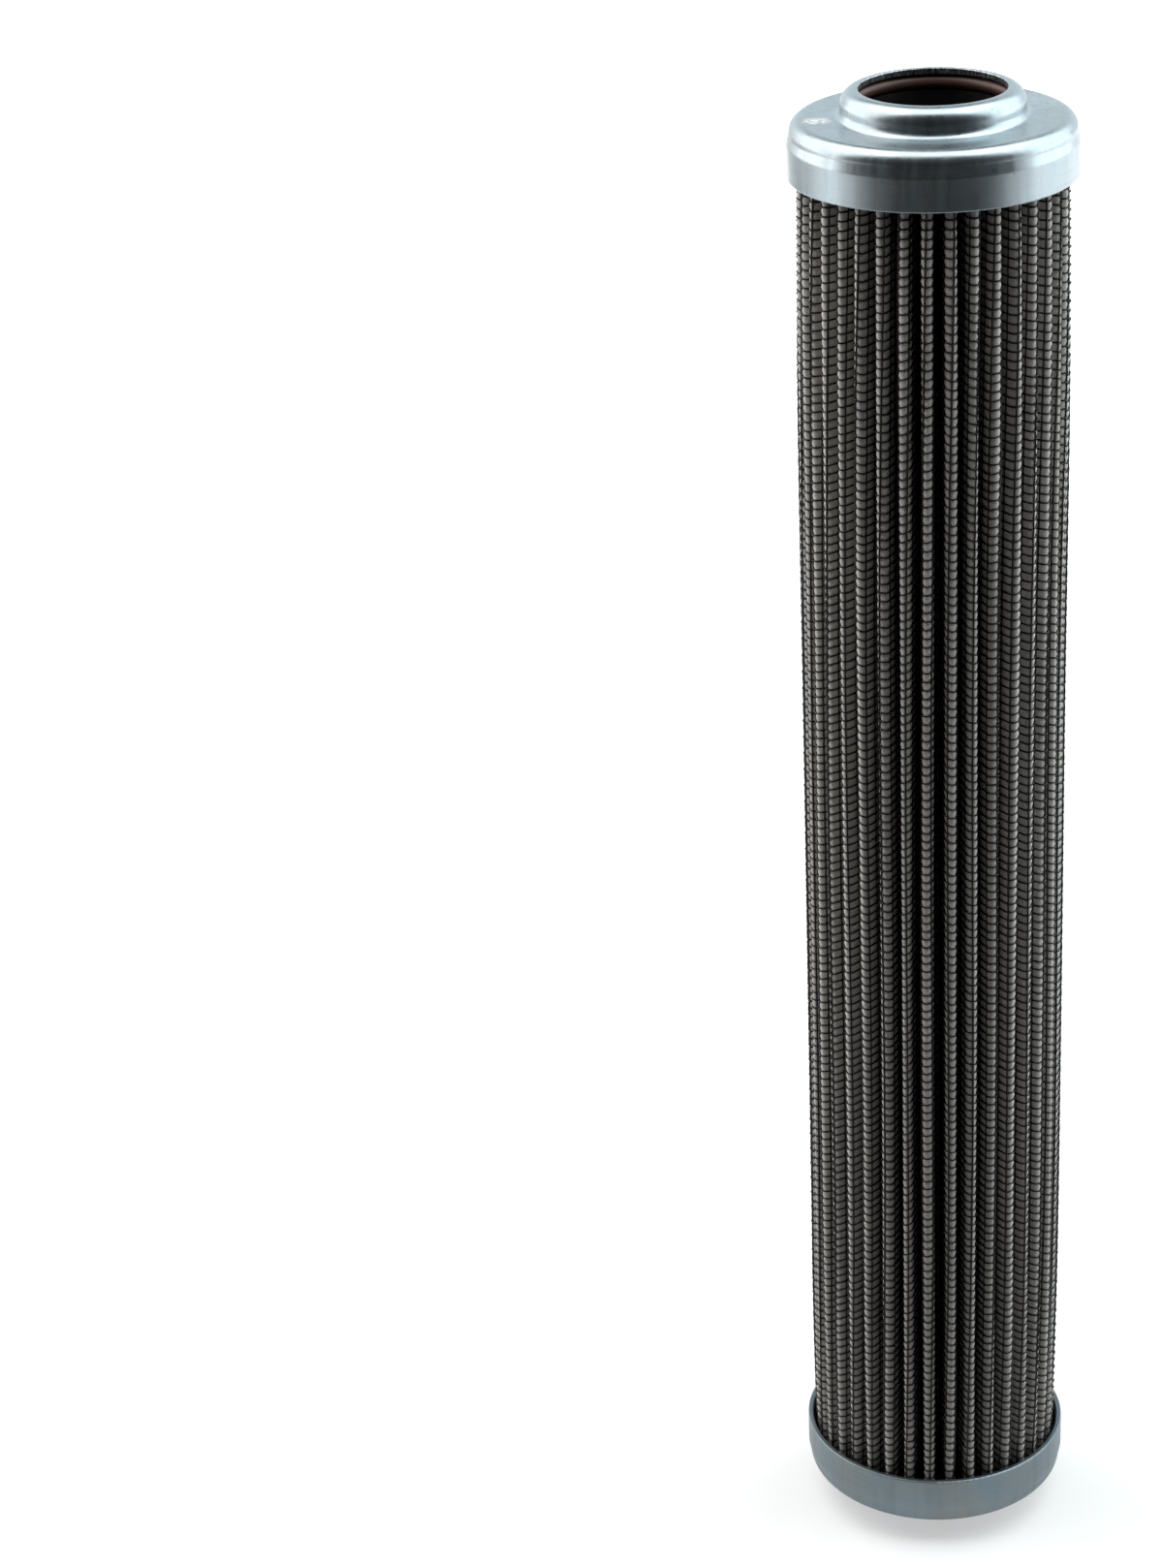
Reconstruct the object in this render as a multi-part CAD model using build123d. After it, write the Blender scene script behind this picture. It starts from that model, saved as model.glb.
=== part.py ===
from build123d import *
import os
from math import asin, atan, cos, pi, radians, sin, sqrt, tan

# Hydraulic filter element, open at both ends. A pleated pack of cloth, glass fibre and steel
# mesh stands round a perforated steel core, with both ends set in resin in drawn steel caps.
# Millimetres, +Z along the axis, origin at the centre of the bottom face.

# Whole element
overall_length = 220.0
cap_outer_d = 39.0
bore_d = 19.8

# End cap, drawn from one round of sheet, with its depths measured from the boss's top face
sheet = 0.8
cap_height = 11.7
skirt_step = 0.3
step_depth = 5.8
step_length = 1.3
step_blend_r = 1.6
crown_shoulder_r = 1.8
boss_height = 3.8
boss_shoulder_top_share = 0.85
boss_shoulder_height_share = 0.6
boss_foot_share = 0.29
bore_edge_r = 0.15
rim_edge_r = 0.2

# Seal, which stands a little inside the bore's edge, and the ring that holds it up in the boss
o_ring_section_d = 1.8
o_ring_stand = 0.2
o_ring_wall_clearance = 0.05
o_ring_seat_clearance = 0.05
o_ring_top_clearance = 0.35
retainer_flange = 0.7
retainer_flange_share = 0.7
retainer_wall_clearance = 0.05
retainer_bore_clearance = 0.1

# Perforated core tube
core_bore_clearance = 0.3
core_wall = 0.7
core_hole_d = 4.0
core_holes_around = 8
core_hole_pitch = 7.2
core_end_margin = 9.0
core_seat_clearance = 0.02

# Pleated pack, its layers from the inside to the outside, with as many pleats as fit the core
pleat_side_clearance = 0.1
pleat_fold_r = 0.05
pleat_turn = -2.5
pack_core_clearance = 0.15
pack_cap_clearance = 0.1
layer_gap = 0.01
inner_mesh_thickness = 0.16
inner_veil_thickness = 0.08
media_thickness = 0.22
outer_veil_thickness = 0.1
outer_mesh_thickness = 0.28

# Resin in each cap, and the bead that closes the pack along one valley
potting_under_pack = 1.0
potting_embed = 1.6
potting_clearance = 0.02
seam_from_tip = 0.3
seam_from_root = 0.25
seam_clearance = 0.02
seam_valley = 18

layer_names = ["inner_wire_mesh", "inner_veil", "filter_media", "outer_veil", "outer_wire_mesh"]
layer_thicknesses = [
    inner_mesh_thickness,
    inner_veil_thickness,
    media_thickness,
    outer_veil_thickness,
    outer_mesh_thickness,
]

# Radii and depths that several pieces share
bore_r = bore_d / 2
skirt_r = cap_outer_d / 2
crown_r = skirt_r - skirt_step
crown_inner_r = crown_r - sheet
crown_flat_r = crown_r - crown_shoulder_r
crown_underside_depth = boss_height + sheet
o_ring_r = bore_r - o_ring_stand + o_ring_section_d / 2
boss_inner_r = o_ring_r + o_ring_section_d / 2 + o_ring_wall_clearance
boss_r = boss_inner_r + sheet
boss_shoulder_r = min(
    boss_shoulder_top_share * (boss_r - bore_r),
    boss_shoulder_height_share * boss_height,
)
boss_foot_r = boss_foot_share * boss_height
hub_r = boss_inner_r - retainer_wall_clearance
flange_r = hub_r + retainer_flange_share * (crown_flat_r - hub_r)
core_inner_r = bore_r + core_bore_clearance
core_outer_r = core_inner_r + core_wall
o_ring_depth = sheet + o_ring_top_clearance + o_ring_section_d / 2
retainer_depth = o_ring_depth + o_ring_section_d / 2 + o_ring_seat_clearance
flange_depth = crown_underside_depth + retainer_wall_clearance
flange_underside_depth = flange_depth + retainer_flange
core_end_depth = flange_underside_depth + core_seat_clearance
pack_end_depth = flange_underside_depth + potting_under_pack
potting_face_depth = pack_end_depth + potting_embed

# Pleat geometry: a tip circle and a root circle in turn, joined by straight flanks
pack_thickness = sum(layer_thicknesses) + layer_gap * (len(layer_thicknesses) - 1)
widest_turn_r = pleat_fold_r + pack_thickness
tip_centre_r = crown_inner_r - pack_cap_clearance - widest_turn_r
root_centre_r = core_outer_r + pack_core_clearance + widest_turn_r
pleat_count = int(pi / asin((widest_turn_r + pleat_side_clearance) / root_centre_r))
half_pitch = pi / pleat_count


def turned(point, angle):
    """The point turned about the axis by an angle in radians."""
    x, y = point
    return (x * cos(angle) - y * sin(angle), x * sin(angle) + y * cos(angle))


def mirrored_about(point, angle):
    """The point mirrored in the radial line at that angle."""
    x, y = turned(point, -angle)
    return turned((x, -y), angle)


def flank(depth):
    """One flank of the first pleat, from its tip circle to its root circle.

    depth is how far the surface lies from the pack's inner face. A surface that is far from it
    turns widely at the tip and tightly at the root, so the surfaces stay parallel.
    """
    tip_r = pleat_fold_r + depth
    root_r = pleat_fold_r + pack_thickness - depth
    tip = (tip_centre_r, 0.0)
    root = turned((root_centre_r, 0.0), half_pitch)
    run_x = root[0] - tip[0]
    run_y = root[1] - tip[1]
    span = sqrt(run_x ** 2 + run_y ** 2)
    along = (run_x / span, run_y / span)
    across = (along[1], -along[0])
    share = (tip_r + root_r) / span
    lean = sqrt(1 - share ** 2)
    normal = (share * along[0] + lean * across[0], share * along[1] + lean * across[1])
    start = (tip[0] + tip_r * normal[0], tip[1] + tip_r * normal[1])
    end = (root[0] - root_r * normal[0], root[1] - root_r * normal[1])
    return start, end


def pleat_outline(depth):
    """The closed outline of the whole pack's surface at that depth."""
    start, end = flank(depth)
    tip_middle = (tip_centre_r + pleat_fold_r + depth, 0.0)
    root_r = pleat_fold_r + pack_thickness - depth
    root_middle = turned((root_centre_r - root_r, 0.0), half_pitch)
    far_start = (start[0], -start[1])
    far_end = mirrored_about(end, half_pitch)
    next_start = turned(far_start, 2 * half_pitch)
    edges = []
    for number in range(pleat_count):
        angle = radians(pleat_turn - 90) + number * 2 * half_pitch
        points = [
            turned(point, angle)
            for point in (far_start, tip_middle, start, end, root_middle, far_end, next_start)
        ]
        edges.append(Edge.make_three_point_arc(points[0], points[1], points[2]))
        edges.append(Edge.make_line(points[2], points[3]))
        edges.append(Edge.make_three_point_arc(points[3], points[4], points[5]))
        edges.append(Edge.make_line(points[5], points[6]))
    return Wire(edges)


def ring_outline(radius):
    """A full circle about the axis."""
    return Wire([Edge.make_circle(radius)])


def prism(outer, inner, low, high):
    """The band between two outlines, standing from one height to another."""
    band = Face(outer, [inner])
    return Pos(0, 0, low) * extrude(band, amount=high - low, dir=(0, 0, 1))


def turned_solid(face):
    """A section drawn as radius and height, turned about the axis."""
    return revolve(Plane.XZ * face, axis=Axis.Z)


def at_top(solid):
    """A piece drawn with heights counted from the boss's top face, put at the top end."""
    return Pos(0, 0, overall_length) * solid


def at_bottom(solid):
    """The same piece, mirrored to the bottom end."""
    return mirror(at_top(solid), about=Plane.XY.offset(overall_length / 2))


def round_edges(solid):
    """The solid's circular edges."""
    return solid.edges().filter_by(GeomType.CIRCLE)


def end_cap():
    """A drawn cap: a skirt round the pack, a flat crown, and a boss round the bore."""
    inner_step_depth = step_depth + sheet * tan(atan(skirt_step / step_length) / 2)
    outside = FilletPolyline(
        (bore_r, 0),
        (boss_r, 0),
        (boss_r, -boss_height),
        (crown_r, -boss_height),
        (crown_r, -step_depth),
        (skirt_r, -step_depth - step_length),
        (skirt_r, -cap_height),
        radius=[
            boss_shoulder_r,
            boss_foot_r,
            crown_shoulder_r,
            step_blend_r,
            step_blend_r,
        ],
    )
    inside = FilletPolyline(
        (bore_r, -sheet),
        (boss_inner_r, -sheet),
        (boss_inner_r, -crown_underside_depth),
        (crown_inner_r, -crown_underside_depth),
        (crown_inner_r, -inner_step_depth),
        (skirt_r - sheet, -inner_step_depth - step_length),
        (skirt_r - sheet, -cap_height),
        radius=[
            boss_shoulder_r - sheet,
            boss_foot_r + sheet,
            crown_shoulder_r - sheet,
            step_blend_r + sheet,
            step_blend_r - sheet,
        ],
    )
    bore_line = Line((bore_r, 0), (bore_r, -sheet))
    rim_line = Line((skirt_r, -cap_height), (skirt_r - sheet, -cap_height))
    section = make_face([outside, rim_line, inside, bore_line])
    cap = turned_solid(section)
    bore_edge = round_edges(cap).group_by(Axis.Z)[-1].sort_by(SortBy.RADIUS)[0]
    cap = fillet(bore_edge, bore_edge_r)
    rim_edges = round_edges(cap).group_by(Axis.Z)[0]
    return fillet(rim_edges, rim_edge_r)


def o_ring():
    """The seal that lies in the boss and stands a little inside the bore's edge."""
    section = Pos(o_ring_r, -o_ring_depth) * Circle(o_ring_section_d / 2)
    return turned_solid(section)


def seal_retainer():
    """A turned ring: its hub carries the seal in the boss, its flange lies under the crown."""
    inner_r = bore_r + retainer_bore_clearance
    width = flange_r - inner_r
    height = flange_underside_depth - retainer_depth
    block = Pos(inner_r + width / 2, -retainer_depth - height / 2) * Rectangle(width, height)
    bend_r = boss_foot_r + sheet + retainer_wall_clearance
    bend_x = hub_r + bend_r
    bend_depth = flange_depth - bend_r
    bend = Pos(bend_x, -bend_depth) * Circle(bend_r)
    beside_hub = Pos(bend_x - bend_r / 2, -bend_depth / 2) * Rectangle(bend_r, bend_depth)
    over_flange = Pos(bend_x + width / 2, -flange_depth / 2) * Rectangle(width, flange_depth)
    return turned_solid(block - bend - beside_hub - over_flange)


def core_tube():
    """The tube that keeps the pack from collapsing, with staggered rows of round holes."""
    length = overall_length - 2 * core_end_depth
    middle = Pos(0, 0, overall_length / 2)
    tube = middle * (Cylinder(core_outer_r, length) - Cylinder(core_inner_r, length))
    row_count = int((length - 2 * core_end_margin) / core_hole_pitch) + 1
    first_row = overall_length / 2 - (row_count - 1) * core_hole_pitch / 2
    turn = 360 / core_holes_around
    drill = Rot(0, 90, 0) * Cylinder(core_hole_d / 2, 4 * core_outer_r)
    drills = []
    for row in range(row_count):
        stagger = turn / 2 * (row % 2)
        for hole in range(core_holes_around // 2):
            place = Pos(0, 0, first_row + row * core_hole_pitch)
            drills.append(place * Rot(0, 0, stagger + hole * turn) * drill)
    return tube - drills


def pack_layer(number):
    """One layer of the pack, between its inner and its outer surface."""
    inner = sum(layer_thicknesses[:number]) + number * layer_gap
    outer = inner + layer_thicknesses[number]
    low = pack_end_depth
    return prism(pleat_outline(outer), pleat_outline(inner), low, overall_length - low)


def potting():
    """Resin in the cap, from the crown's underside up round the ends of the pleats."""
    fill_r = crown_inner_r - potting_clearance
    seat = crown_underside_depth + potting_clearance
    corner_r = crown_shoulder_r - sheet
    flange_side = flange_r + potting_clearance
    inner_r = core_outer_r + potting_clearance
    under_flange = -flange_underside_depth - potting_clearance
    pack_end = potting_clearance - pack_end_depth
    section = Wire([
        Edge.make_line((flange_side, -seat), (fill_r - corner_r, -seat)),
        Edge.make_three_point_arc(
            (fill_r - corner_r, -seat),
            (fill_r - corner_r + corner_r * cos(pi / 4), -seat - corner_r + corner_r * sin(pi / 4)),
            (fill_r, -seat - corner_r),
        ),
        Edge.make_line((fill_r, -seat - corner_r), (fill_r, pack_end)),
        Edge.make_line((fill_r, pack_end), (inner_r, pack_end)),
        Edge.make_line((inner_r, pack_end), (inner_r, under_flange)),
        Edge.make_line((inner_r, under_flange), (flange_side, under_flange)),
        Edge.make_line((flange_side, under_flange), (flange_side, -seat)),
    ])
    base = turned_solid(Face(section))
    outer_outline = pleat_outline(pack_thickness + potting_clearance)
    inner_outline = pleat_outline(-potting_clearance)
    outside = prism(ring_outline(fill_r), outer_outline, -potting_face_depth, pack_end)
    inside = prism(inner_outline, ring_outline(inner_r), -potting_face_depth, pack_end)
    return base + outside + inside


def side_seam():
    """The bead that bonds the pack's two free edges, run down one valley on its outside."""
    start, end = flank(pack_thickness)
    span_x = end[0] - start[0]
    span_y = end[1] - start[1]
    span = sqrt(span_x ** 2 + span_y ** 2)
    shift = (span_y / span * seam_clearance, -span_x / span * seam_clearance)

    def on_flank(share):
        return (start[0] + span_x * share + shift[0], start[1] + span_y * share + shift[1])

    near = [on_flank(seam_from_tip), on_flank(1 - seam_from_root)]
    far = [mirrored_about(point, half_pitch) for point in near]
    angle = radians(pleat_turn - 90) + seam_valley * 2 * half_pitch
    corners = [turned(point, angle) for point in (near[0], near[1], far[1], far[0])]
    low = potting_face_depth + potting_clearance
    bead = Face(Wire.make_polygon(corners, close=True))
    return Pos(0, 0, low) * extrude(bead, amount=overall_length - 2 * low, dir=(0, 0, 1))


def build_pieces():
    """Every piece of the element under its node's name."""
    end_pieces = {
        "end_cap": end_cap(),
        "o_ring": o_ring(),
        "seal_retainer": seal_retainer(),
        "potting": potting(),
    }
    pieces = {
        "core_tube": core_tube(),
        "side_seam": side_seam(),
    }
    for name, solid in end_pieces.items():
        pieces["top_" + name] = at_top(solid)
        pieces["bottom_" + name] = at_bottom(solid)
    for number, name in enumerate(layer_names):
        pieces[name] = pack_layer(number)
    return pieces


os.makedirs("parts", exist_ok=True)
for name, solid in build_pieces().items():
    export_step(solid, "parts/" + name + ".step")
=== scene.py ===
import math

import bmesh
import bpy
import numpy as np
from mathutils import Matrix, Vector


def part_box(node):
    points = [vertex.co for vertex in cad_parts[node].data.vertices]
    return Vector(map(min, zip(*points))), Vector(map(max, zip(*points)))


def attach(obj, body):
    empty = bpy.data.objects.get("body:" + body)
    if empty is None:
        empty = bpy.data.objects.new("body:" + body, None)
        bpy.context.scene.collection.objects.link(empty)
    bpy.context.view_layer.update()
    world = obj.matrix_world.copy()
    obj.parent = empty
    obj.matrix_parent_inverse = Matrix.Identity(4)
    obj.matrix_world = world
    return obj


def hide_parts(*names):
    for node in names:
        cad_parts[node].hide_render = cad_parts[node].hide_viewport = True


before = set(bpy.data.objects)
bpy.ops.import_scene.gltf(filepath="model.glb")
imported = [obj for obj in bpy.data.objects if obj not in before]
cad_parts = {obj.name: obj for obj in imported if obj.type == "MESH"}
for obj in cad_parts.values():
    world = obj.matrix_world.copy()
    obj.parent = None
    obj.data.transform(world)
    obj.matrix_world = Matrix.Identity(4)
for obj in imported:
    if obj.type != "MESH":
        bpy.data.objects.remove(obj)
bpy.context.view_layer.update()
mm = 0.001

# Camera. A short telephoto lens looks down on the element from a little above its top, turned so
# that the element stands to the right of the middle and upright in the picture.
lens_mm = 85.6
camera_distance = 487.3 * mm
camera_height = 343.8 * mm
look_down = math.radians(24.685)
look_left = math.radians(5.94)
lean = math.radians(-2.553)
camera_data = bpy.data.cameras.new("camera")
camera_data.lens = lens_mm
camera = bpy.data.objects.new("camera", camera_data)
bpy.context.scene.collection.objects.link(camera)
camera.matrix_world = (
    Matrix.Translation((0, -camera_distance, camera_height))
    @ Matrix.Rotation(look_left, 4, "Z")
    @ Matrix.Rotation(math.pi / 2 - look_down, 4, "X")
    @ Matrix.Rotation(lean, 4, "Z")
)
bpy.context.scene.camera = camera
bpy.context.scene.view_settings.view_transform = "Standard"

# Studio. A dim world, an upright soft box at each side, one overhead and one behind, and a pale
# floor. Dark cards lie on it in front, at the foot and on the left, for the skirts to mirror. The
# camera doesn't see them, and they fade out towards the element.
world = bpy.data.worlds.new("studio")
bpy.context.scene.world = world
world.use_nodes = True
world.node_tree.nodes["Background"].inputs["Color"].default_value = (0.5, 0.53, 0.56, 1)
world.node_tree.nodes["Background"].inputs["Strength"].default_value = 0.06


def soft_box(name, place, target, wide, high, watts, colour):
    """An area lamp of that size and colour at a place, turned to a target."""
    data = bpy.data.lights.new(name, "AREA")
    data.shape = "RECTANGLE"
    data.size = wide
    data.size_y = high
    data.energy = watts
    data.color = colour
    lamp = bpy.data.objects.new(name, data)
    bpy.context.scene.collection.objects.link(lamp)
    aim = Vector(target) - Vector(place)
    turn = aim.to_track_quat("-Z", "Y").to_matrix().to_4x4()
    lamp.matrix_world = Matrix.Translation(place) @ turn


waist = (0, 0, 0.12)
soft_box("left_box", (-0.95, 0.28, 0.8), waist, 1.5, 1.8, 21, (1, 1, 0.99))
soft_box("right_box", (0.95, 0.28, 0.8), waist, 1.5, 1.8, 22, (0.89, 0.98, 1))
soft_box("top_box", (0, 0.05, 1.2), (0, 0, 0.2), 1.2, 0.9, 8.6, (0.98, 1, 1))
soft_box("back_box", (0, 1.4, 0.6), waist, 2.4, 0.9, 7.6, (0.85, 0.95, 1))


def flat_card(name, height, x_range, y_range, colour):
    """A flat matt card that isn't part of the object, and its material's node tree."""
    mesh = bpy.data.meshes.new(name)
    work = bmesh.new()
    bmesh.ops.create_grid(work, x_segments=1, y_segments=1, size=0.5)
    size = (x_range[1] - x_range[0], y_range[1] - y_range[0], 1)
    bmesh.ops.scale(work, vec=size, verts=work.verts)
    middle = (sum(x_range) / 2, sum(y_range) / 2, height)
    bmesh.ops.translate(work, vec=middle, verts=work.verts)
    work.to_mesh(mesh)
    work.free()
    coat = bpy.data.materials.new(name + "_paint")
    coat.use_nodes = True
    coat_values = coat.node_tree.nodes["Principled BSDF"].inputs
    coat_values["Base Color"].default_value = (*colour, 1)
    coat_values["Specular IOR Level"].default_value = 0
    mesh.materials.append(coat)
    card = bpy.data.objects.new(name, mesh)
    bpy.context.scene.collection.objects.link(card)
    return card, coat.node_tree


floor_grey = (0.52, 0.52, 0.52)
floor_tree = flat_card("floor", 0, (-30, 30), (-30, 30), floor_grey)[1]


def node(tree, kind, inputs=None, **settings):
    """A new node with its settings, its inputs set to values or joined to other nodes."""
    made = tree.nodes.new(kind)
    for name, value in settings.items():
        setattr(made, name, value)
    for name, value in (inputs or {}).items():
        if isinstance(value, bpy.types.NodeSocket):
            tree.links.new(value, made.inputs[name])
        else:
            made.inputs[name].default_value = value
    return made


def fading_card(name, height, x_range, y_range, fade_range, share):
    """A black card only for mirroring, which fades along y from nothing to that share."""
    card, tree = flat_card(name, height, x_range, y_range, (0.01, 0.01, 0.01))
    card.visible_camera = False
    card.visible_shadow = False
    place = node(tree, "ShaderNodeTexCoord").outputs["Object"]
    across = node(tree, "ShaderNodeSeparateXYZ", {"Vector": place}).outputs["Y"]
    fade = node(tree, "ShaderNodeMapRange", {
        "Value": across,
        "From Min": fade_range[0],
        "From Max": fade_range[1],
        "To Min": 0.0,
        "To Max": share,
    }, interpolation_type="SMOOTHSTEP").outputs["Result"]
    tree.links.new(fade, tree.nodes["Principled BSDF"].inputs["Alpha"])


fading_card("black_card", 1 * mm, (-12, 12), (-30, -0.2), (-0.2, -0.66), 1.0)
fading_card("foot_card", 1.5 * mm, (-0.5, 0.5), (-0.6, -0.033), (-0.03, -0.05), 0.65)
fading_card("left_card", 2 * mm, (-1.3, -0.4), (-0.05, 1.2), (-0.05, 0.4), 0.6)

# The floor shows brighter to the camera, metal and glass than it lights the element, and more so
# far from the lamps, so that it is white in the picture.
ray = node(floor_tree, "ShaderNodeLightPath").outputs
seen = node(floor_tree, "ShaderNodeMath", {0: ray["Is Camera Ray"], 1: ray["Is Glossy Ray"]},
            operation="MAXIMUM").outputs[0]
seen = node(floor_tree, "ShaderNodeMath", {0: seen, 1: ray["Is Transmission Ray"]},
            operation="MAXIMUM").outputs[0]
place = node(floor_tree, "ShaderNodeTexCoord").outputs["Object"]
away = node(floor_tree, "ShaderNodeVectorMath", {0: place}, operation="LENGTH").outputs["Value"]
glow = node(floor_tree, "ShaderNodeMapRange", {
    "Value": away,
    "From Min": 0.3,
    "From Max": 0.8,
    "To Min": 0.45,
    "To Max": 1.0,
}, interpolation_type="SMOOTHSTEP").outputs["Result"]
glow = node(floor_tree, "ShaderNodeMath", {0: seen, 1: glow}, operation="MULTIPLY").outputs[0]
floor_shader = floor_tree.nodes["Principled BSDF"]
floor_shader.inputs["Emission Color"].default_value = (1, 1, 1, 1)
floor_tree.links.new(glow, floor_shader.inputs["Emission Strength"])

# Pleated pack. Five sheets lie on each other and are folded together. The two outer ones, the
# wire mesh and the cloth, are made here as they are on the machine: flat, with their length
# around the pack along X, their outward side along Y, and then folded to the pleats that stand
# round the core.
pleat_count = 36
first_pleat = math.radians(-92.5)
pack_outer_r = 18.3 * mm
pack_inner_r = 11.05 * mm
pack_thickness = 0.88 * mm
fold_r = 0.05 * mm  # at the inside of each fold
mesh_middle = 0.14 * mm  # how deep the middle of the outer mesh lies in the pack
pack_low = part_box("outer_wire_mesh")[0].z
pack_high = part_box("outer_wire_mesh")[1].z
half_turn = math.pi / pleat_count
tip_centre = pack_outer_r - pack_thickness - fold_r
root_centre = pack_inner_r + pack_thickness + fold_r
tip_r = fold_r + pack_thickness - mesh_middle
root_r = fold_r + mesh_middle
tip_point = np.array([tip_centre, 0.0])
root_point = root_centre * np.array([math.cos(half_turn), math.sin(half_turn)])
span = root_point - tip_point
span_length = np.linalg.norm(span)
flank_angle = math.atan2(span[1], span[0]) - math.acos((tip_r + root_r) / span_length)
flank_out = np.array([math.cos(flank_angle), math.sin(flank_angle)])
flank_run = span - (tip_r + root_r) * flank_out
tip_arc = tip_r * flank_angle
flank_length = np.linalg.norm(flank_run)
root_arc = root_r * (flank_angle - half_turn)
pleat_length = 2 * (tip_arc + flank_length + root_arc)
sheet_length = pleat_count * pleat_length

# The pack bulges at half height, and its pleats sway and slip, but not where the caps hold them.
barrel = 0.3 * mm
sway = 0.16 * mm
slip = 0.3 * mm
still_end = 6 * mm
loose_end = 26 * mm


def wave(turns, phase, angle):
    """A slow wave with a whole number of turns round the pack."""
    return np.sin(turns * angle + phase)


def fold(flat):
    """Where each point of the flat sheets (around, outward, up) lies in the finished pack."""
    around, out, up = flat.T
    pleat = np.floor(around / pleat_length + 0.5)
    from_tip = around - pleat * pleat_length
    side = np.where(from_tip < 0, -1.0, 1.0)
    along = np.abs(from_tip)
    tip_turn = np.minimum(along / tip_r, flank_angle)
    down_flank = np.clip((along - tip_arc) / flank_length, 0, 1)
    root_turn = np.clip((along - tip_arc - flank_length) / root_r, 0, flank_angle - half_turn)
    x = tip_point[0] + (tip_r + out) * np.cos(tip_turn) + down_flank * flank_run[0]
    y = tip_point[1] + (tip_r + out) * np.sin(tip_turn) + down_flank * flank_run[1]
    at_root = root_turn > 0
    root_angle = flank_angle - root_turn
    x = np.where(at_root, root_point[0] - (root_r - out) * np.cos(root_angle), x)
    y = np.where(at_root, root_point[1] - (root_r - out) * np.sin(root_angle), y)
    angle = np.arctan2(side * y, x) + pleat * 2 * half_turn + first_pleat
    radius = np.hypot(x, y)
    outness = np.clip((radius - root_centre) / (tip_centre - root_centre), 0, 1.2)
    low = np.clip((up - pack_low - still_end) / loose_end, 0, 1)
    high = np.clip((pack_high - still_end - up) / loose_end, 0, 1)
    loose = np.sqrt(low * high) * outness
    height = (up - pack_low) / (pack_high - pack_low)
    swing = (
        wave(7, 0.4, angle) * np.sin(9 * height + 1)
        + wave(17, 2.1, angle) * np.sin(5 * height)
        + 1.2 * wave(13, 1.0, angle)
    )
    radius = radius + barrel * loose * (1 + 0.3 * wave(5, 3.0, angle) * np.sin(7 * height))
    angle = angle + sway * loose * swing / 2 / radius
    up = up + slip * low * high * (wave(11, 0.7, angle) + wave(29, 1.9, angle)) / 2
    return np.column_stack([radius * np.cos(angle), radius * np.sin(angle), up])


def folded_piece(name, work, flat_place):
    """An object of a flat bmesh, with its points placed by flat_place and then folded."""
    mesh = bpy.data.meshes.new(name)
    work.to_mesh(mesh)
    work.free()
    place = np.empty(len(mesh.vertices) * 3)
    mesh.vertices.foreach_get("co", place)
    flat = flat_place(place.reshape(-1, 3))
    mesh.vertices.foreach_set("co", fold(flat).ravel())
    weave = mesh.uv_layers.new(name="weave")
    corners = np.empty(len(mesh.loops), int)
    mesh.loops.foreach_get("vertex_index", corners)
    across = (flat[:, 0] - drift(flat[:, 2])) / axial_pitch
    up = (flat[:, 2] - pack_low) / hoop_pitch
    weave.data.foreach_set("uv", np.column_stack([across, up])[corners].ravel())
    closing = bmesh.new()
    closing.from_mesh(mesh)
    bmesh.ops.remove_doubles(closing, verts=closing.verts, dist=0.0001 * mm)
    closing.to_mesh(mesh)
    closing.free()
    mesh.polygons.foreach_set("use_smooth", [True] * len(mesh.polygons))
    mesh.update()
    piece = bpy.data.objects.new(name, mesh)
    bpy.context.scene.collection.objects.link(piece)
    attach(piece, "root")
    return piece


# Outer wire mesh. Black coated steel wire in a plain weave, twenty hoop wires to the inch and
# fewer axial ones, which wander a little across the folds. It is woven flat and folded with the
# cloth. The hoop wires are three pieces, because of their number.
hoop_pitch = 1.27 * mm
hoop_count = int((pack_high - pack_low) / hoop_pitch)
woven_pitch = 1.8 * mm
axial_count = 2 * round(sheet_length / (2 * woven_pitch))
axial_pitch = sheet_length / axial_count
wire_r = 0.125 * mm
crimp = 0.04 * mm
wander = 1.6 * mm
tip_shares = np.array([-1, -2 / 3, -1 / 3, 0, 1 / 3, 2 / 3, 1]) * tip_arc
hoop_stations = np.concatenate([
    [-pleat_length / 2, -tip_arc - flank_length],
    tip_shares,
    [tip_arc + flank_length],
])


def drift(up):
    """How far the axial wires have wandered around the pack at that height."""
    height = (up - pack_low) / (pack_high - pack_low)
    return wander * (height + 0.25 * np.sin(7 * height))


def station(number, stations):
    """The length around the flat sheet of a station, counted through the pleats."""
    per_pleat = len(stations)
    whole = np.rint(number).astype(int)
    return whole // per_pleat * pleat_length + stations[whole % per_pleat]


def over_under(around, up):
    """Which way the weave bends a hoop wire there, from -1 to 1. Axial wires go the other way."""
    hoop = (up - pack_low) / hoop_pitch
    return np.cos(math.pi * ((around - drift(up)) / axial_pitch + np.rint(hoop)))


def paint(name, colour, roughness, metallic=0.0):
    """A new material of that plain colour: itself, its node tree and its shader's inputs."""
    made = bpy.data.materials.new(name)
    made.use_nodes = True
    values = made.node_tree.nodes["Principled BSDF"].inputs
    values["Base Color"].default_value = (*colour, 1)
    values["Roughness"].default_value = roughness
    values["Metallic"].default_value = metallic
    return made, made.node_tree, values


def noise(tree, scale, detail=3.0, stretch=(1, 1, 1), roughness=0.5):
    """A noise of so many grains to the metre, stretched along the object's axes."""
    place = node(tree, "ShaderNodeTexCoord").outputs["Object"]
    place = node(tree, "ShaderNodeVectorMath", {0: place, 1: stretch},
                 operation="MULTIPLY").outputs[0]
    return node(tree, "ShaderNodeTexNoise", {
        "Vector": place,
        "Scale": scale,
        "Detail": detail,
        "Roughness": roughness,
    }).outputs["Fac"]


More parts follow.
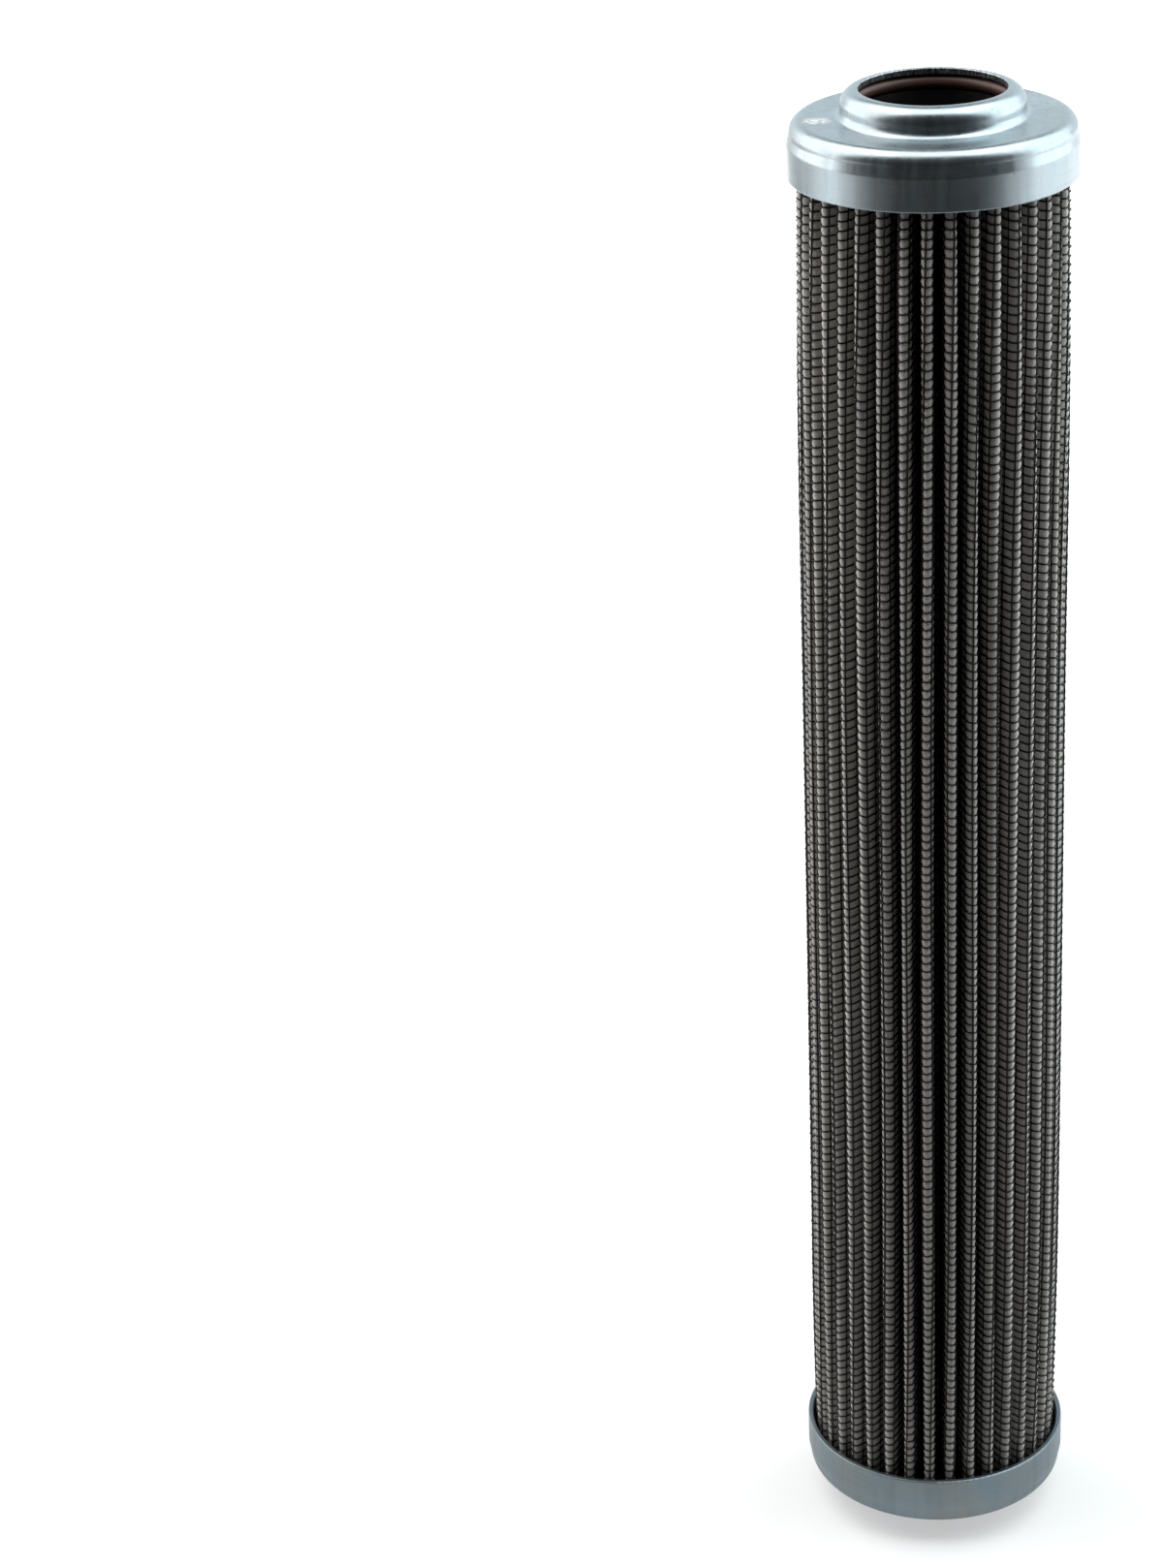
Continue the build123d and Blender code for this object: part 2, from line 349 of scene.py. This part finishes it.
def spread(tree, value, low, high, to_low, to_high):
    """The value carried from one range to another, and held to it."""
    return node(tree, "ShaderNodeMapRange", {
        "Value": value,
        "From Min": low,
        "From Max": high,
        "To Min": to_low,
        "To Max": to_high,
    }).outputs["Result"]


def blend(tree, share, first, second):
    """Two colours mixed by a share, each a plain colour or another node's."""
    mixer = tree.nodes.new("ShaderNodeMix")
    mixer.data_type = "RGBA"
    for socket, value in ((0, share), (6, first), (7, second)):
        if isinstance(value, bpy.types.NodeSocket):
            tree.links.new(value, mixer.inputs[socket])
        elif socket == 0:
            mixer.inputs[socket].default_value = value
        else:
            mixer.inputs[socket].default_value = (*value, 1)
    return mixer.outputs[2]


def bump(tree, height, depth, below=None):
    """A bump of that depth in metres from a height between 0 and 1, on top of another one."""
    inputs = {"Height": height, "Distance": depth, "Strength": 1.0}
    if below is not None:
        inputs["Normal"] = below
    return node(tree, "ShaderNodeBump", inputs).outputs["Normal"]


wire_coat, tree, values = paint("wire_coat", (0.006, 0.006, 0.006), 0.42)
worn = spread(tree, noise(tree, 2600, 2), 0.4, 0.7, 0.36, 0.52)
tree.links.new(worn, values["Roughness"])
values["Specular IOR Level"].default_value = 0.3


def hoop_wires(name, first, count):
    """So many hoop wires, from the first one up."""
    work = bmesh.new()
    stand = Matrix.Rotation(math.pi / 2, 4, "Y")
    bmesh.ops.create_circle(work, segments=4, radius=wire_r, matrix=stand)
    steps = pleat_count * len(hoop_stations)
    bmesh.ops.spin(work, geom=work.verts[:] + work.edges[:], dvec=(1, 0, 0), angle=0,
                   axis=(1, 0, 0), cent=(0, 0, 0), steps=steps, use_duplicate=False)
    bmesh.ops.translate(work, vec=(0, 0, pack_low + first * hoop_pitch), verts=work.verts)
    bmesh.ops.spin(work, geom=work.verts[:] + work.edges[:] + work.faces[:],
                   dvec=(0, 0, hoop_pitch), angle=0, axis=(0, 0, 1), cent=(0, 0, 0),
                   steps=count - 1, use_duplicate=True)
    bmesh.ops.recalc_face_normals(work, faces=work.faces)

    def flat_place(place):
        around = station(place[:, 0], hoop_stations)
        out = place[:, 1] + crimp * over_under(around, place[:, 2])
        return np.column_stack([around, out, place[:, 2]])

    piece = folded_piece(name, work, flat_place)
    piece.data.materials.append(wire_coat)
    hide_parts("outer_wire_mesh")


third = hoop_count // 3
hoop_wires("hoop_wires_low", 1, third)
hoop_wires("hoop_wires_middle", 1 + third, third)
hoop_wires("hoop_wires_high", 1 + 2 * third, hoop_count - 1 - 2 * third)

# The axial wires near the tips show, so they bend at every hoop wire. The rest bend less often.
fine_zone = tip_arc + 1.6 * mm
coarse_rows = 20
wire_length = hoop_count * hoop_pitch
work = bmesh.new()
for number in range(axial_count):
    around = number * axial_pitch
    at_middle = around + wander / 2
    from_tip = abs(at_middle - round(at_middle / pleat_length) * pleat_length)
    rows = hoop_count if from_tip < fine_zone else coarse_rows
    middle = Matrix.Translation((around, 0, pack_low + wire_length / 2))
    wire = bmesh.ops.create_cone(work, cap_ends=True, segments=4, radius1=wire_r, radius2=wire_r,
                                 depth=wire_length, matrix=middle)
    risers = {
        edge
        for vert in wire["verts"]
        for edge in vert.link_edges
        if abs(edge.verts[0].co.z - edge.verts[1].co.z) > wire_length / 2
    }
    bmesh.ops.subdivide_edges(work, edges=list(risers), cuts=rows - 1)


def axial_place(place):
    """The flat place of the axial wires, which wander and go over and under the hoops."""
    around = place[:, 0] + drift(place[:, 2])
    out = place[:, 1] - crimp * over_under(around, place[:, 2])
    return np.column_stack([around, out, place[:, 2]])


axial_wires = folded_piece("axial_wires", work, axial_place)
axial_wires.data.materials.append(wire_coat)
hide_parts("outer_wire_mesh")

# Outer veil. A thin warm-grey spunbond cloth under the wires. The folding presses it out between
# them, so each opening of the mesh holds a small pillow of cloth.
veil_depth = 0.15 * mm
pillow = 0.15 * mm
veil_stations = np.array([
    -pleat_length / 2,
    -tip_arc - flank_length,
    -tip_arc,
    -tip_arc / 2,
    0,
    tip_arc / 2,
    tip_arc,
    tip_arc + flank_length,
])


def flat_sheet(rows):
    """A flat grid: whole stations along X and whole rows along Z."""
    work = bmesh.new()
    columns = pleat_count * len(veil_stations)
    bmesh.ops.create_grid(work, x_segments=columns, y_segments=rows, size=0.5)
    bmesh.ops.translate(work, vec=(0.5, 0.5, 0), verts=work.verts)
    bmesh.ops.scale(work, vec=(columns, rows, 1), verts=work.verts)
    bmesh.ops.rotate(work, cent=(0, 0, 0), matrix=Matrix.Rotation(math.pi / 2, 3, "X"),
                     verts=work.verts)
    return work


def veil_place(place):
    """The flat place of the cloth: low under the wires and proud between them."""
    around = station(place[:, 0], veil_stations)
    up = pack_low + place[:, 2] * hoop_pitch / 2
    out = -veil_depth + pillow * (np.rint(place[:, 2]) % 2)
    return np.column_stack([around, out, up])


def from_axis(tree):
    """How far a point of the object is from the upright axis."""
    place = node(tree, "ShaderNodeTexCoord").outputs["Object"]
    flat = node(tree, "ShaderNodeVectorMath", {0: place, 1: (1, 1, 0)},
                operation="MULTIPLY").outputs[0]
    return node(tree, "ShaderNodeVectorMath", {0: flat}, operation="LENGTH").outputs["Value"]


veil_rows = 2 * hoop_count
outer_veil = folded_piece("outer_veil_cloth", flat_sheet(veil_rows), veil_place)
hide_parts("outer_veil")
grey_fibre = (0.56, 0.525, 0.49)
pale_fibre = (0.88, 0.835, 0.79)
blotch = (0.42, 0.385, 0.35)
dim_cell = (0.3, 0.275, 0.26)
painted_valley_shade = (0.1, 0.09, 0.085)
painted_foot_shade = (0.17, 0.15, 0.135)
cloth, tree, values = paint("spunbond_cloth", (0.42, 0.39, 0.36), 0.75)
weave = node(tree, "ShaderNodeUVMap", uv_map="weave").outputs["UV"]
cell = node(tree, "ShaderNodeVectorMath", {0: weave}, operation="FLOOR").outputs[0]
cell_shade = node(tree, "ShaderNodeTexWhiteNoise", {"Vector": cell},
                  noise_dimensions="2D").outputs["Value"]
fibres = noise(tree, 9000, 4, (1, 1, 0.45), 0.7)
blotches = noise(tree, 420, 3)
shade = blend(tree, spread(tree, fibres, 0.3, 0.7, 0, 1), grey_fibre, pale_fibre)
shade = blend(tree, spread(tree, blotches, 0.35, 0.75, 0, 0.35), shade, blotch)
shade = blend(tree, spread(tree, cell_shade, 0, 1, 0, 0.18), shade, dim_cell)

# Painted shade: the cloth's colour is darker deep in the valleys and towards the foot.
deep = spread(tree, from_axis(tree), 15 * mm, 17.5 * mm, 0.75, 0)
shade = blend(tree, deep, shade, painted_valley_shade)
place = node(tree, "ShaderNodeTexCoord").outputs["Object"]
height = node(tree, "ShaderNodeSeparateXYZ", {"Vector": place}).outputs["Z"]
# Painted shade over the lowest 90 mm, darkest at the foot.
foot_shade_share = spread(tree, height, 10 * mm, 90 * mm, 0.35, 0)
tree.links.new(blend(tree, foot_shade_share, shade, painted_foot_shade), values["Base Color"])

# Each cell of the weave is full at its middle and drawn in at the axial wires beside it.
across = node(tree, "ShaderNodeSeparateXYZ", {"Vector": weave}).outputs["X"]
wrap = node(tree, "ShaderNodeMath", {0: across, 1: math.pi}, operation="MULTIPLY").outputs[0]
swell = node(tree, "ShaderNodeMath", {0: wrap}, operation="SINE").outputs[0]
swell = node(tree, "ShaderNodeMath", {0: swell}, operation="ABSOLUTE").outputs[0]
swell = node(tree, "ShaderNodeMath", {0: swell, 1: 0.6}, operation="POWER").outputs[0]
values["Sheen Weight"].default_value = 0.1
values["Specular IOR Level"].default_value = 0.3
normal = bump(tree, swell, 0.12 * mm)
normal = bump(tree, fibres, 0.03 * mm, normal)
tree.links.new(normal, values["Normal"])
outer_veil.data.materials.append(cloth)


def dress(name, material):
    """The CAD's own mesh shown in that material."""
    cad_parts[name].data.materials.clear()
    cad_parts[name].data.materials.append(material)


# Side seam. A bead of resin that bonds the pack's two free edges, run down one valley.
# Potting. Black resin poured into each cap, in which the pack and the core tube stand.
resin, tree, values = paint("black_resin", (0.014, 0.014, 0.016), 0.35)
tree.links.new(bump(tree, noise(tree, 500, 3), 0.08 * mm), values["Normal"])
for name in ("side_seam", "top_potting", "bottom_potting"):
    dress(name, resin)

# Filter media and inner veil. White glass fibre holds back the dirt. It lies between two thin
# cloths and is pleated with them. Only the outer cloth shows, and it is made above, so the
# outer veil's plain sheet is hidden too.
for name, colour in (
    ("filter_media", (0.75, 0.74, 0.7)),
    ("inner_veil", (0.6, 0.58, 0.55)),
    ("outer_veil", (0.45, 0.42, 0.4)),
):
    sheet, tree, values = paint(name + "_sheet", colour, 0.9)
    grain = noise(tree, 3000, 4)
    darker = [0.7 * part for part in colour]
    tree.links.new(blend(tree, grain, colour, darker), values["Base Color"])
    tree.links.new(bump(tree, grain, 0.04 * mm), values["Normal"])
    dress(name, sheet)

# Core tube, inner wire mesh and seal retainers. The tube is rolled from perforated steel sheet
# and takes the pressure, the mesh between it and the cloth keeps the flow paths open, and a ring
# holds each seal in its boss. All are steel, coloured near black so that the bore shows dark.
steel, tree, values = paint("black_steel", (0.06, 0.056, 0.054), 0.5, 1)
rubbed = noise(tree, 700, 4, (1, 1, 0.2))
tree.links.new(spread(tree, rubbed, 0.3, 0.7, 0.42, 0.6), values["Roughness"])
tree.links.new(bump(tree, rubbed, 0.01 * mm), values["Normal"])
for name in ("core_tube", "inner_wire_mesh", "outer_wire_mesh", "top_seal_retainer",
             "bottom_seal_retainer"):
    dress(name, steel)

# Seal rings. One ring of moulded brown-black rubber lies in each boss, between the cap and its
# retainer, and seals on the spigot that the element is pushed on.
rubber, tree, values = paint("brown_rubber", (0.075, 0.032, 0.024), 0.45)
tree.links.new(bump(tree, noise(tree, 2500, 3), 0.006 * mm), values["Normal"])
for name in ("top_o_ring", "bottom_o_ring"):
    dress(name, rubber)

# End caps. Each is drawn from one round of steel sheet and zinc plated, so it is a cold pale grey
# with streaks down the skirt where the die held it, and its bore is a raw cut edge.
edge_low_r = 9.96 * mm
edge_high_r = 10.02 * mm
torn_dark = (0.2, 0.21, 0.22)
torn_bright = (0.6, 0.66, 0.7)


def product(tree, first, second):
    """Two values multiplied."""
    return node(tree, "ShaderNodeMath", {0: first, 1: second}, operation="MULTIPLY").outputs[0]


def zinc(name, pale, dull, smooth, rough):
    """Plated steel between two colours and two roughnesses, in streaks, rings and clouds.

    The colour and the roughness are returned as outputs, for the cap's own marks to be laid on.
    """
    material, tree, values = paint(name, pale, smooth, 1)
    clouds = noise(tree, 130, 4)
    streaks = noise(tree, 900, 1, (1, 1, 0.05))
    patches = noise(tree, 200, 2)
    grain = noise(tree, 5200, 2)
    place = node(tree, "ShaderNodeTexCoord").outputs["Object"]
    up = node(tree, "ShaderNodeSeparateXYZ", {"Vector": place}).outputs["Z"]
    radius = from_axis(tree)
    across = node(tree, "ShaderNodeCombineXYZ", {"X": radius, "Y": up}).outputs[0]
    rings = node(tree, "ShaderNodeTexNoise", {"Vector": across, "Scale": 2600.0, "Detail": 2.0},
                 noise_dimensions="2D").outputs["Fac"]
    ringed = spread(tree, rings, 0.5, 0.72, 0, 1)
    ringed = product(tree, ringed, spread(tree, patches, 0.4, 0.7, 0, 1))
    streaked = spread(tree, streaks, 0.5, 0.75, 0, 0.13)
    colour = blend(tree, spread(tree, clouds, 0.35, 0.7, 0, 1), pale, dull)
    colour = blend(tree, streaked, colour, [0.7 * part for part in pale])
    colour = blend(tree, product(tree, ringed, 0.3), colour, [0.62 * part for part in pale])
    cut = spread(tree, radius, edge_low_r, edge_high_r, 1, 0)
    torn = spread(tree, noise(tree, 2800, 3, (1, 1, 0.5), 0.7), 0.46, 0.6, 0, 1)
    raw = blend(tree, torn, torn_dark, torn_bright)
    colour = blend(tree, cut, colour, raw)
    uneven = node(tree, "ShaderNodeMath", {0: clouds, 1: streaks}, operation="ADD").outputs[0]
    roughness = spread(tree, uneven, 0.7, 1.3, smooth, rough)
    normal = bump(tree, clouds, 0.025 * mm)
    normal = bump(tree, ringed, 0.001 * mm, normal)
    normal = bump(tree, grain, 0.0015 * mm, normal)
    tree.links.new(normal, values["Normal"])
    return material, tree, values, colour, roughness


def patch(tree, x, y, wide, deep, low, high):
    """A soft patch in plan, full at its middle and gone at its edge, broken up by a noise."""
    place = node(tree, "ShaderNodeTexCoord").outputs["Object"]
    away = node(tree, "ShaderNodeVectorMath", {0: place, 1: (x, y, 0)},
                operation="SUBTRACT").outputs[0]
    away = node(tree, "ShaderNodeVectorMath", {0: away, 1: (2 / wide, 2 / deep, 0)},
                operation="MULTIPLY").outputs[0]
    away = node(tree, "ShaderNodeVectorMath", {0: away}, operation="LENGTH").outputs["Value"]
    broken = noise(tree, 2600, 4, (0.5, 1.3, 1), 0.65)
    return product(tree, spread(tree, away, 0.35, 1, 1, 0), spread(tree, broken, low, high, 0, 1))


# The top cap has white scuffs on the left of its crown, fine scratches on the right and some
# pits.
pit_dark = (0.12, 0.13, 0.13)
scratch_bright = (0.75, 0.8, 0.82)
scuff_white = (0.9, 0.91, 0.89)
top_zinc, tree, values, colour, roughness = zinc(
    "zinc_plate", (0.36, 0.425, 0.46), (0.4, 0.44, 0.455), 0.26, 0.38)
scuff = patch(tree, -15.3 * mm, -2.2 * mm, 4.8 * mm, 4.4 * mm, 0.48, 0.54)
scratch = patch(tree, 14.5 * mm, 6.5 * mm, 8 * mm, 10 * mm, 0.5, 0.6)
pits = spread(tree, noise(tree, 1500, 1), 0.76, 0.8, 0, 0.7)
colour = blend(tree, pits, colour, pit_dark)
colour = blend(tree, product(tree, scratch, 0.4), colour, scratch_bright)
colour = blend(tree, product(tree, scuff, 0.85), colour, scuff_white)
marked = node(tree, "ShaderNodeMath", {0: roughness, 1: product(tree, scuff, 0.4)},
              operation="ADD").outputs[0]
tree.links.new(colour, values["Base Color"])
tree.links.new(marked, values["Roughness"])
tree.links.new(spread(tree, scuff, 0, 1, 1, 0.15), values["Metallic"])
dress("top_end_cap", top_zinc)

# The bottom cap is duller than the top one, with faint brown stains. Its darker colour is painted
# shade, a shaded copy of the same zinc plate.
stain_brown = (0.23, 0.22, 0.215)
shaded_low_zinc, tree, values, colour, roughness = zinc(
    "dull_zinc_painted_shade", (0.17, 0.22, 0.255), (0.21, 0.24, 0.24), 0.4, 0.52)
stain = spread(tree, noise(tree, 160, 3), 0.5, 0.7, 0, 0.5)
colour = blend(tree, stain, colour, stain_brown)
tree.links.new(colour, values["Base Color"])
tree.links.new(roughness, values["Roughness"])
dress("bottom_end_cap", shaded_low_zinc)
